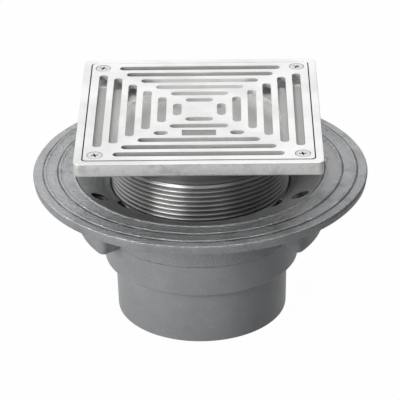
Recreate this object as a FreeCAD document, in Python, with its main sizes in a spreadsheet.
"""Floor drain with an adjustable square strainer.

A cast body with a wide ridged flange stands on its spigot outlet. A dished clamping collar is bolted
into the flange, and the threaded neck of a square strainer frame screws up and down in the collar.
A slotted grate is screwed into the frame.

Millimetres and degrees. +Z is up, and the origin is the middle of the outlet's lower face.
"""
import FreeCAD, Part
import math
import os
import re
import Sketcher

Vector = FreeCAD.Vector

# Driving dimensions: name, value and what it measures
SIZES = [
    ("outlet_radius", 55.6, "outside of the spigot, for 4 in hubless pipe"),
    ("outlet_wall", 4.8, "wall of the spigot"),
    ("outlet_height", 37.9, "outlet face to the underside of the sump"),
    ("outlet_step", 7.6, "how far the lower tier stands out past the spigot"),
    ("sump_wall", 4.0, "wall of the lower tier"),
    ("sump_height", 21.5, "height of the lower tier"),
    ("sump_floor", 4.6, "thickness of the sloped floor at its outer edge"),
    ("sump_floor_slope", 3.0, "fall of the floor from the wall to the outlet"),
    ("chamber_step", 2.0, "how much wider the chamber under the flange is than the lower tier"),
    ("chamber_slope", 1.2, "height of the slope between the two"),
    ("band_wall", 3.5, "wall of the rough cast band under the flange"),
    ("chamber_height", 32.4, "height of the band and of the lobes"),
    ("lobe_cover", 7.9, "metal of a lobe outside the circle through the bolts"),
    ("lobe_spread", 38.5, "half angle of a lobe each side of the X axis, degrees"),
    ("lobe_corner", 4.0, "upright corners of the lobes"),
    ("lobe_foot_edge", 2.0, "bevelled lower edge of the lobes"),
    ("hub_wall", 4.0, "thick ring under the flange, outside the collar's recess"),
    ("hub_floor", 4.0, "metal under the collar's seat"),
    ("flange_land", 7.8, "flat land of the flange outside the outer ridge"),
    ("flange_draft", 0.9, "how much smaller the flange is underneath"),
    ("flange_thickness", 6.0, "flange at its rim"),
    ("ridge_first", 10.0, "edge of the recess to the middle ridge"),
    ("ridge_step", 9.3, "middle ridge to the outer ridge"),
    ("ridge_width", 1.9, "width of a ridge at its foot"),
    ("ridge_height", 0.7, "height of a ridge"),
    ("seat_ledge", 18.8, "width of the seat for the collar, round the chamber"),
    ("seat_depth", 12.3, "flange top to the collar's seat"),
    ("collar_gap", 0.3, "clearance of the collar in its recess and of its hub in the chamber"),
    ("collar_sink", 0.3, "collar's outer edge below the flange top"),
    ("collar_dish", 8.6, "fall of the dished face from its edge to the bore"),
    ("collar_hub_length", 12.9, "hub below the seat"),
    ("collar_wall", 3.45, "wall of the collar's hub"),
    ("neck_gap", 0.3, "clearance of the neck in the collar's bore"),
    ("notch_angle", 36.0, "seepage notches, degrees each side of the X axis"),
    ("notch_width", 12.0, "seepage notch along the bore"),
    ("notch_depth", 4.75, "how far a seepage notch reaches out from the bore"),
    ("notch_bevel", 2.5, "bevelled inner corners of a seepage notch"),
    ("bolt_inset", 8.5, "edge of the recess to the circle through the clamp bolts"),
    ("bolt_angle", 28.0, "clamp bolts, degrees each side of the X axis"),
    ("bolt_radius", 3.18, "shank of a clamp bolt"),
    ("bolt_gap", 0.3, "clearance round a bolt's shank and beyond its end"),
    ("bolt_head_radius", 4.75, "low round head with a hexagon socket"),
    ("bolt_head_gap", 0.45, "clearance round a head in its pocket"),
    ("bolt_head_height", 3.6, "head above the pocket's floor"),
    ("bolt_pocket_floor", 3.0, "metal between the pocket's floor and the seat"),
    ("bolt_bite", 15.0, "shank below the seat"),
    ("strainer_rise", 40.7, "strainer's top above the flange as it stands"),
    ("strainer_width", 152.4, "side of the square frame, 6 in"),
    ("strainer_corner", 3.6, "corner radius of the frame in plan"),
    ("strainer_depth", 9.0, "height of the frame's side"),
    ("strainer_top_edge", 0.5, "broken upper edge of the frame"),
    ("strainer_foot_edge", 1.2, "bevelled lower edge of the frame"),
    ("rim_width", 4.9, "frame outside the grate's recess"),
    ("pan_margin", 9.0, "frame's side to the edge of the shallow pan under the grate"),
    ("pan_corner", 26.0, "corner radius of the pan, which leaves the screw bosses"),
    ("pan_floor", 2.8, "metal under the pan"),
    ("neck_wall", 5.0, "wall of the neck"),
    ("neck_length", 55.0, "neck below the frame"),
    ("grate_gap", 0.3, "gap round the grate in the frame"),
    ("grate_corner", 2.4, "corner radius of the grate in plan"),
    ("grate_thickness", 3.0, "plate of the grate"),
    ("slot_width", 5.6, "width of every slot"),
    ("slot_first", 13.95, "middle of the innermost slots from the centre"),
    ("slot_border", 8.3, "edge of the grate to the middle of the outermost slots"),
    ("slot_end", 5.3, "how much shorter half a slot is than its distance from the centre"),
    ("slot_outer_end", 10.2, "the same for the outermost slots, which stop short of the screws"),
    ("plate_half_width", 10.6, "half width of the bare nameplate recess"),
    ("plate_half_height", 3.9, "half height of the bare nameplate recess"),
    ("plate_depth", 0.5, "depth of the nameplate recess"),
    ("plate_side", 8.5, "nameplate recess to the short slot at each end of it"),
    ("screw_inset", 7.5, "grate screws from the two nearest edges of the grate"),
    ("screw_head_radius", 4.7, "countersunk head of a grate screw"),
    ("screw_head_gap", 0.2, "gap round a countersunk head"),
    ("screw_head_lift", 0.3, "countersunk cone ends above the grate's underside"),
    ("screw_radius", 2.4, "shank of a grate screw"),
    ("screw_gap", 0.3, "clearance round a screw's shank and beyond its end"),
    ("screw_cover", 1.1, "grate screw's tip above the underside of the frame"),
]
NAMES = {name for name, _, _ in SIZES}

# Sizes that follow from the driving ones, from the spigot outwards
FOLLOWING = {
    "outlet_bore": "outlet_radius - outlet_wall",
    "sump_radius": "outlet_radius + outlet_step",
    "sump_bore": "sump_radius - sump_wall",
    "chamber_bore": "sump_bore + chamber_step",
    "band_radius": "chamber_bore + band_wall",
    "collar_bore": "chamber_bore - collar_gap - collar_wall",
    "neck_radius": "collar_bore - neck_gap",
    "notch_reach": "collar_bore + notch_depth",
    "seat_radius": "chamber_bore + seat_ledge",
    "bolt_circle": "seat_radius - bolt_inset",
    "lobe_radius": "bolt_circle + lobe_cover",
    "hub_radius": "seat_radius + hub_wall",
    "middle_ridge": "seat_radius + ridge_first",
    "outer_ridge": "middle_ridge + ridge_step",
    "flange_radius": "outer_ridge + flange_land",
    "sump_top": "outlet_height + sump_height",
    "flange_under": "sump_top + chamber_height",
    "flange_top": "flange_under + flange_thickness",
    "seat": "flange_top - seat_depth",
    "strainer_top": "flange_top + strainer_rise",
    "grate_half": "strainer_width / 2 - rim_width - grate_gap",
    "slot_pitch": "(grate_half - slot_border - slot_first) / 5",
    "short_slot_inner": "plate_half_width + plate_side",
    "screw_offset": "grate_half - screw_inset",
    "screw_length": "strainer_depth - screw_cover",
    "screw_head_height": "grate_thickness - screw_head_lift",
}

# Flats that stand for a round: half a turn at a slot's end, a full turn round a threaded shank
SLOT_END_COUNT = 5
SHANK_COUNT = 8

doc = FreeCAD.newDocument("floor_drain")
sheet = doc.addObject("Spreadsheet::Sheet", "Sizes")
for row, (name, size, meaning) in enumerate(SIZES, start=1):
    sheet.set(f"A{row}", name)
    sheet.set(f"B{row}", str(size))
    sheet.setAlias(f"B{row}", name)
    sheet.set(f"C{row}", meaning)
doc.recompute()


def tied(text):
    """The expression with each size's name pointing into the sheet."""
    def pointed(found):
        word = found[0]
        if word in FOLLOWING:
            return f"({tied(FOLLOWING[word])})"
        return f"Sizes.{word}" if word in NAMES else word
    return re.sub(r"[a-z_]+", pointed, text)


def value(text):
    """What an expression comes to with the present sizes."""
    return float(sheet.evalExpression(tied(text)))


def bind(thing, **expressions):
    """Tie properties of an object to expressions; a double underscore stands for a dot."""
    for name, text in expressions.items():
        thing.setExpression(name.replace("__", "."), tied(text))


# Sketches and their constraints
def new_body(label, **placement):
    """A body of its own, placed by expressions for x, y and z."""
    made = doc.addObject("PartDesign::Body", label)
    made.Label = label
    for axis, text in placement.items():
        bind(made, **{f"Placement__Base__{axis}": text})
    return made


def new_sketch(owner, label, plane="XY_Plane", height=None):
    """A sketch on one of the body's origin planes, raised along the plane's normal."""
    sketch = owner.newObject("Sketcher::SketchObject", label)
    sketch.AttachmentSupport = (next(o for o in owner.Origin.OriginFeatures if o.Role == plane), [""])
    sketch.MapMode = "FlatFace"
    if height:
        bind(sketch, AttachmentOffset__Base__z=height)
    return sketch


def hold(sketch, kind, *where, text):
    """Add one dimension that follows an expression."""
    index = sketch.addConstraint(Sketcher.Constraint(kind, *where, value(text)))
    sketch.setExpression(f"Constraints[{index}]", tied(text))


def pin_point(sketch, edge, end, across, up):
    """Hold one point of an edge at a place given by two expressions."""
    hold(sketch, "DistanceX", edge, end, text=across)
    hold(sketch, "DistanceY", edge, end, text=up)


def spot(across, up):
    """A starting position for a point that expressions will hold."""
    return Vector(value(across), value(up), 0)


def outline(sketch, corners):
    """A closed outline of straight edges through corners given as pairs of expressions."""
    first = sketch.GeometryCount
    for corner, following in zip(corners, corners[1:] + corners[:1]):
        sketch.addGeometry(Part.LineSegment(spot(*corner), spot(*following)))
    for index, corner in enumerate(corners):
        following = first + (index + 1) % len(corners)
        sketch.addConstraint(Sketcher.Constraint("Coincident", first + index, 2, following, 1))
        pin_point(sketch, first + index, 1, *corner)


def circle(sketch, radius, across="0", up="0"):
    """A circle of a radius about a point."""
    made = sketch.addGeometry(Part.Circle(spot(across, up), Vector(0, 0, 1), value(radius)))
    pin_point(sketch, made, 3, across, up)
    hold(sketch, "Radius", made, text=radius)


def arc_between(sketch, before, after, middle, start, end, radius):
    """An arc that joins two edges at their free ends, counter-clockwise about its middle."""
    turned = Part.Circle(middle, Vector(0, 0, 1), value(radius))
    made = sketch.addGeometry(Part.ArcOfCircle(turned, turned.parameter(start), turned.parameter(end)))
    sketch.addConstraint(Sketcher.Constraint("Coincident", made, 1, before, 2))
    sketch.addConstraint(Sketcher.Constraint("Coincident", made, 2, after, 1))
    return made


def rounded_square(sketch, half, corner):
    """A square about the origin with round corners."""
    flat = f"({half} - {corner})"
    sides = [
        ((half, f"-{flat}"), (half, flat)),
        ((flat, half), (f"-{flat}", half)),
        ((f"-{half}", flat), (f"-{half}", f"-{flat}")),
        ((f"-{flat}", f"-{half}"), (flat, f"-{half}")),
    ]
    middles = [(flat, flat), (f"-{flat}", flat), (f"-{flat}", f"-{flat}"), (flat, f"-{flat}")]
    first = sketch.GeometryCount
    for index, (start, end) in enumerate(sides):
        sketch.addGeometry(Part.LineSegment(spot(*start), spot(*end)))
        pin_point(sketch, first + index, 1, *start)
        pin_point(sketch, first + index, 2, *end)
    for index, middle in enumerate(middles):
        following = (index + 1) % 4
        made = arc_between(sketch, first + index, first + following, spot(*middle),
                           spot(*sides[index][1]), spot(*sides[following][0]), corner)
        hold(sketch, "Radius", made, text=corner)


def round_flats(radius, across, up, first, last, count):
    """Corners on an arc about a point, from one angle to another in equal flats."""
    angles = [first + (last - first) * step / count for step in range(count + 1)]
    return [(f"{across} + {radius} * cos({angle})", f"{up} + {radius} * sin({angle})") for angle in angles]


def shank(sketch, radius, across="0", up="0"):
    """The many-sided outline of a threaded shank or of its hole."""
    outline(sketch, round_flats(f"({radius})", across, up, 0, 360, SHANK_COUNT)[:-1])


def slot(sketch, across, up, half_across, half_up):
    """A slot about a point, with rounded ends, along whichever half length is the greater."""
    if value(half_up) > value(half_across):
        corners = (round_flats(half_across, across, f"{up} + {half_up} - {half_across}", 0, 180, SLOT_END_COUNT)
                   + round_flats(half_across, across, f"{up} - {half_up} + {half_across}", 180, 360,
                                 SLOT_END_COUNT))
    else:
        corners = (round_flats(half_up, f"{across} + {half_across} - {half_up}", up, -90, 90, SLOT_END_COUNT)
                   + round_flats(half_up, f"{across} - {half_across} + {half_up}", up, 90, 270, SLOT_END_COUNT))
    outline(sketch, corners)


def ring_sector(sketch, inner, outer, spread):
    """A sector of a ring, spread evenly each side of the X axis."""
    ends = {}
    arcs = {}
    for name, radius in (("inner", inner), ("outer", outer)):
        turned = Part.Circle(Vector(0, 0, 0), Vector(0, 0, 1), value(radius))
        low = spot(f"{radius} * cos({spread})", f"-{radius} * sin({spread})")
        high = spot(f"{radius} * cos({spread})", f"{radius} * sin({spread})")
        made = sketch.addGeometry(Part.ArcOfCircle(turned, turned.parameter(low) - 2 * math.pi,
                                                   turned.parameter(high)))
        sketch.addConstraint(Sketcher.Constraint("Coincident", made, 3, -1, 1))
        hold(sketch, "Radius", made, text=radius)
        hold(sketch, "DistanceY", made, 1, text=f"-{radius} * sin({spread})")
        hold(sketch, "DistanceY", made, 2, text=f"{radius} * sin({spread})")
        arcs[name] = made
        ends[name] = (low, high)
    for end, place in ((1, 0), (2, 1)):
        side = sketch.addGeometry(Part.LineSegment(ends["inner"][place], ends["outer"][place]))
        sketch.addConstraint(Sketcher.Constraint("Coincident", side, 1, arcs["inner"], end))
        sketch.addConstraint(Sketcher.Constraint("Coincident", side, 2, arcs["outer"], end))


# Features
def turn(owner, label, sketch):
    """Turn a closed section a full circle about Z."""
    made = owner.newObject("PartDesign::Revolution", label)
    made.Profile = sketch
    made.ReferenceAxis = (sketch, ["V_Axis"])
    made.Angle = 360
    return made


def pad(owner, label, sketch, length, downwards=False):
    """Raise a sketch into solid metal."""
    made = owner.newObject("PartDesign::Pad", label)
    made.Profile = sketch
    made.Reversed = downwards
    bind(made, Length=length)
    return made


def pocket(owner, label, sketch, depth=None, upwards=False):
    """Cut down from a sketch, by a depth or right through."""
    made = owner.newObject("PartDesign::Pocket", label)
    made.Profile = sketch
    made.Reversed = upwards
    if depth is None:
        made.Type = "ThroughAll"
    else:
        bind(made, Length=depth)
    return made


def around(owner, label, feature, count, angle=360):
    """Repeat a feature evenly about Z."""
    made = owner.newObject("PartDesign::PolarPattern", label)
    made.Originals = [feature]
    made.Axis = (next(o for o in owner.Origin.OriginFeatures if o.Role == "Z_Axis"), [""])
    made.Angle = angle
    made.Occurrences = count
    owner.Tip = made
    return made


def edges_where(feature, test):
    """The names of the edges of a feature that pass a test."""
    return [f"Edge{index}" for index, edge in enumerate(feature.Shape.Edges, start=1) if test(edge)]


def blend(owner, label, feature, kind, test, size):
    """Round or bevel the edges that pass a test, by a size from the sheet."""
    doc.recompute()
    made = owner.newObject(f"PartDesign::{kind}", label)
    made.Base = (feature, edges_where(feature, test))
    bind(made, **{"Radius" if kind == "Fillet" else "Size": size})
    owner.Tip = made
    return made


def reach(edge):
    """How far the middle of an edge is from the Z axis."""
    middle = edge.valueAt((edge.FirstParameter + edge.LastParameter) / 2)
    return (middle.x ** 2 + middle.y ** 2) ** 0.5


def level(edge, height):
    """Whether an edge lies flat at a height."""
    return abs(edge.BoundBox.ZMin - height) < 0.01 and abs(edge.BoundBox.ZMax - height) < 0.01


# Body casting: outlet, sump, lobes and ridged flange
def ridge(radius):
    """The section of one ridge on the flange, from its outer foot inwards."""
    return [(f"{radius} + ridge_width / 2", "flange_top"),
            (radius, "flange_top + ridge_height"),
            (f"{radius} - ridge_width / 2", "flange_top")]


def make_drain_body():
    owner = new_body("drain_body")
    section = new_sketch(owner, "drain_section", "XZ_Plane")
    seat_under = "(seat - hub_floor)"
    outside = [
        ("outlet_bore", "0"),
        ("outlet_radius", "0"),
        ("outlet_radius", "outlet_height"),
        ("sump_radius", "outlet_height"),
        ("sump_radius", "sump_top"),
        ("band_radius", "sump_top"),
        ("band_radius", seat_under),
        ("hub_radius", seat_under),
        ("hub_radius", "flange_under"),
        ("flange_radius - flange_draft", "flange_under"),
        ("flange_radius", "flange_top"),
    ]
    ridges = ridge("outer_ridge") + ridge("middle_ridge")
    inside = [
        ("seat_radius + ridge_width", "flange_top"),
        ("seat_radius", "flange_top + ridge_height"),
        ("seat_radius", "seat"),
        ("chamber_bore", "seat"),
        ("chamber_bore", "sump_top"),
        ("sump_bore", "sump_top - chamber_slope"),
        ("sump_bore", "outlet_height + sump_floor + sump_floor_slope"),
        ("outlet_bore", "outlet_height + sump_floor"),
    ]
    outline(section, outside + ridges + inside)
    turn(owner, "drain_turned", section)

    plan = new_sketch(owner, "lobe_plan", height="sump_top")
    ring_sector(plan, "(band_radius - hub_floor / 2)", "lobe_radius", "lobe_spread")
    lobe = pad(owner, "lobe", plan, "seat - sump_top")
    lobes = around(owner, "lobes", lobe, 2)

    def upright_corner(edge):
        return (edge.BoundBox.ZLength > value("chamber_height") / 2
                and abs(edge.BoundBox.ZMin - value("sump_top")) < 0.01
                and abs(reach(edge) - value("lobe_radius")) < 0.05)

    rounded = blend(owner, "lobe_corners", lobes, "Fillet", upright_corner, "lobe_corner")

    def foot(edge):
        return level(edge, value("sump_top")) and reach(edge) > value("band_radius") + 0.5

    blend(owner, "lobe_feet", rounded, "Chamfer", foot, "lobe_foot_edge")

    drilling = new_sketch(owner, "tapping_plan", height="seat")
    for side in ("", "-"):
        shank(drilling, "bolt_radius + bolt_gap", "bolt_circle * cos(bolt_angle)",
              f"{side}bolt_circle * sin(bolt_angle)")
    holes = pocket(owner, "tapped_pair", drilling, "bolt_bite + bolt_gap")
    around(owner, "tapped_holes", holes, 2)
    return owner


# Clamping collar: dished ring with a hub, bolt pockets and seepage notches
def make_clamp_collar():
    owner = new_body("clamp_collar", z="flange_top")
    section = new_sketch(owner, "collar_section", "XZ_Plane")
    outer = "(seat_radius - collar_gap)"
    hub = "(chamber_bore - collar_gap)"
    outline(section, [
        ("collar_bore", "-collar_sink - collar_dish"),
        ("collar_bore", "-seat_depth - collar_hub_length"),
        (hub, "-seat_depth - collar_hub_length"),
        (hub, "-seat_depth"),
        (outer, "-seat_depth"),
        (outer, "-collar_sink"),
    ])
    turn(owner, "collar_turned", section)

    heads = new_sketch(owner, "head_plan")
    shanks = new_sketch(owner, "shank_plan")
    for side in ("", "-"):
        middle = ("bolt_circle * cos(bolt_angle)", f"{side}bolt_circle * sin(bolt_angle)")
        circle(heads, "bolt_head_radius + bolt_head_gap", *middle)
        shank(shanks, "bolt_radius + bolt_gap", *middle)
    sunk = pocket(owner, "head_pair", heads, "seat_depth - bolt_pocket_floor")
    around(owner, "head_pockets", sunk, 2)
    drilled = pocket(owner, "shank_pair", shanks)
    around(owner, "shank_holes", drilled, 2)

    notches = new_sketch(owner, "notch_plan")
    for side in ("", "-"):
        def turned_corner(out, along):
            return (f"({out}) * cos(notch_angle) - ({along}) * sin(notch_angle)",
                    f"{side}(({out}) * sin(notch_angle) + ({along}) * cos(notch_angle))")
        near = "collar_bore - notch_width"
        half = "notch_width / 2"
        outline(notches, [
            turned_corner(near, f"-{half}"),
            turned_corner("notch_reach - notch_bevel", f"-{half}"),
            turned_corner("notch_reach", f"-{half} + notch_bevel"),
            turned_corner("notch_reach", f"{half} - notch_bevel"),
            turned_corner("notch_reach - notch_bevel", half),
            turned_corner(near, half),
        ])
    cut = pocket(owner, "notch_pair", notches)
    around(owner, "seepage_notches", cut, 2)
    return owner


# Strainer frame: square rim, grate recess, shallow pan and the neck, one casting
def make_strainer_frame():
    owner = new_body("strainer_frame", z="strainer_top")
    plan = new_sketch(owner, "frame_plan")
    rounded_square(plan, "(strainer_width / 2)", "strainer_corner")
    block = pad(owner, "frame_block", plan, "strainer_depth", downwards=True)

    def top_edge(edge):
        return level(edge, 0)

    def foot_edge(edge):
        return level(edge, -value("strainer_depth"))

    topped = blend(owner, "frame_top_edge", block, "Chamfer", top_edge, "strainer_top_edge")
    blend(owner, "frame_foot", topped, "Chamfer", foot_edge, "strainer_foot_edge")

    ring = new_sketch(owner, "neck_plan", height="-strainer_depth + pan_floor / 2")
    circle(ring, "neck_radius")
    pad(owner, "neck", ring, "neck_length + pan_floor / 2", downwards=True)

    recess = new_sketch(owner, "recess_plan")
    rounded_square(recess, "(strainer_width / 2 - rim_width)", "(grate_corner + grate_gap)")
    pocket(owner, "grate_recess", recess, "grate_thickness")
    hollow = new_sketch(owner, "pan_plan", height="-grate_thickness")
    rounded_square(hollow, "(strainer_width / 2 - pan_margin)", "pan_corner")
    pocket(owner, "pan", hollow, "strainer_depth - grate_thickness - pan_floor")
    bore = new_sketch(owner, "bore_plan")
    circle(bore, "neck_radius - neck_wall")
    pocket(owner, "neck_bore", bore)

    tapping = new_sketch(owner, "screw_plan", height="-grate_thickness")
    shank(tapping, "screw_radius + screw_gap", "screw_offset", "screw_offset")
    hole = pocket(owner, "screw_hole", tapping, "screw_length - grate_thickness + screw_gap")
    around(owner, "screw_holes", hole, 4)
    return owner


# Grate: a plate cut by squares of slots inside one another
def make_grate():
    owner = new_body("grate", z="strainer_top")
    plan = new_sketch(owner, "grate_plan")
    rounded_square(plan, "grate_half", "grate_corner")
    pad(owner, "grate_plate", plan, "grate_thickness", downwards=True)

    def offset(step):
        return f"(slot_first + {step} * slot_pitch)"

    slots = new_sketch(owner, "slot_plan")
    for step in (0, 1, 3, 4):
        slot(slots, offset(step), "0", "slot_width / 2", f"({offset(step)} - slot_end)")
    slot(slots, offset(5), "0", "slot_width / 2", f"({offset(5)} - slot_outer_end)")
    cut = pocket(owner, "slot_side", slots)
    around(owner, "slots_all_round", cut, 4)

    third = new_sketch(owner, "third_slot_plan")
    slot(third, offset(2), "0", "slot_width / 2", f"({offset(2)} - slot_end)")
    cut = pocket(owner, "third_slot", third)
    around(owner, "third_slots", cut, 3, 180)

    short = new_sketch(owner, "short_slot_plan")
    outer_end = f"({offset(2)} - slot_end)"
    for side in ("", "-"):
        slot(short, f"{side}(({outer_end} + short_slot_inner) / 2)", f"-{offset(2)}",
             f"(({outer_end} - short_slot_inner) / 2)", "slot_width / 2")
    pocket(owner, "short_slots", short)

    plate = new_sketch(owner, "nameplate_plan")
    outline(plate, [(f"{x}plate_half_width", f"-{offset(2)} {y} plate_half_height")
                    for x, y in (("-", "-"), ("", "-"), ("", "+"), ("-", "+"))])
    pocket(owner, "nameplate_recess", plate, "plate_depth")

    cone = new_sketch(owner, "countersink_section", "XZ_Plane")
    bind(cone, AttachmentOffset__Base__x="screw_offset", AttachmentOffset__Base__z="-screw_offset")
    mouth = "(screw_head_radius + screw_head_gap)"
    throat = "(screw_radius + screw_gap)"
    outline(cone, [
        ("0", "0"),
        (mouth, "0"),
        (throat, "-grate_thickness"),
        ("0", "-grate_thickness"),
    ])
    sunk = owner.newObject("PartDesign::Groove", "countersink")
    sunk.Profile = cone
    sunk.ReferenceAxis = (cone, ["V_Axis"])
    sunk.Angle = 360
    around(owner, "countersinks", sunk, 4)
    return owner


# Fasteners: one of each is modelled, then mirrored to its other places
def four_of(owner, label):
    """The piece and its mirror images across the two upright planes, as one group of solids."""
    links = [owner]
    for name, normal in (("x", Vector(1, 0, 0)), ("y", Vector(0, 1, 0))):
        source = doc.addObject("Part::Compound", f"{label}_{name}_half")
        source.Links = links
        mirror = doc.addObject("Part::Mirroring", f"{label}_{name}_image")
        mirror.Source = source
        mirror.Normal = normal
        links = [source, mirror]
    group = doc.addObject("Part::Compound", label)
    group.Label = label
    group.Links = links
    return group


def make_grate_screws():
    """Countersunk screws, flush with the grate."""
    owner = new_body("grate_screw", x="screw_offset", y="screw_offset", z="strainer_top")
    head = new_sketch(owner, "grate_screw_section", "XZ_Plane")
    outline(head, [
        ("0", "0"),
        ("0", "-screw_head_height"),
        ("screw_radius", "-screw_head_height"),
        ("screw_head_radius", "0"),
    ])
    turn(owner, "grate_screw_head", head)
    plan = new_sketch(owner, "grate_screw_plan", height="-screw_head_height")
    shank(plan, "screw_radius")
    pad(owner, "grate_screw_shank", plan, "screw_length - screw_head_height", downwards=True)
    return four_of(owner, "grate_screws")


def make_clamp_bolts():
    """Low-headed bolts, seated on the floors of the collar's pockets."""
    owner = new_body("clamp_bolt", x="bolt_circle * cos(bolt_angle)", y="bolt_circle * sin(bolt_angle)",
                     z="seat + bolt_pocket_floor")
    head = new_sketch(owner, "clamp_bolt_head_plan")
    circle(head, "bolt_head_radius")
    pad(owner, "clamp_bolt_head", head, "bolt_head_height")
    plan = new_sketch(owner, "clamp_bolt_plan")
    shank(plan, "bolt_radius")
    pad(owner, "clamp_bolt_shank", plan, "bolt_pocket_floor + bolt_bite", downwards=True)
    return four_of(owner, "clamp_bolts")


# Build everything, check it and write one file for each piece
pieces = [make_drain_body(), make_clamp_collar(), make_clamp_bolts(),
          make_strainer_frame(), make_grate(), make_grate_screws()]
doc.recompute()

for item in doc.Objects:
    if {"Invalid", "Error"} & set(item.State):
        raise RuntimeError(f"{item.Name} failed: {item.State}")

os.makedirs("parts", exist_ok=True)
for piece in pieces:
    shape = piece.Shape
    if shape.isNull() or not shape.isValid():
        raise RuntimeError(f"{piece.Label} has no valid shape")
    shape.exportStep(f"parts/{piece.Label}.step")
    box = shape.BoundBox
    print(f"{piece.Label}: {len(shape.Solids)} solids, {shape.Volume / 1000:.1f} cm3, "
          f"z {box.ZMin:.1f} to {box.ZMax:.1f}, x {box.XMin:.1f} to {box.XMax:.1f}")
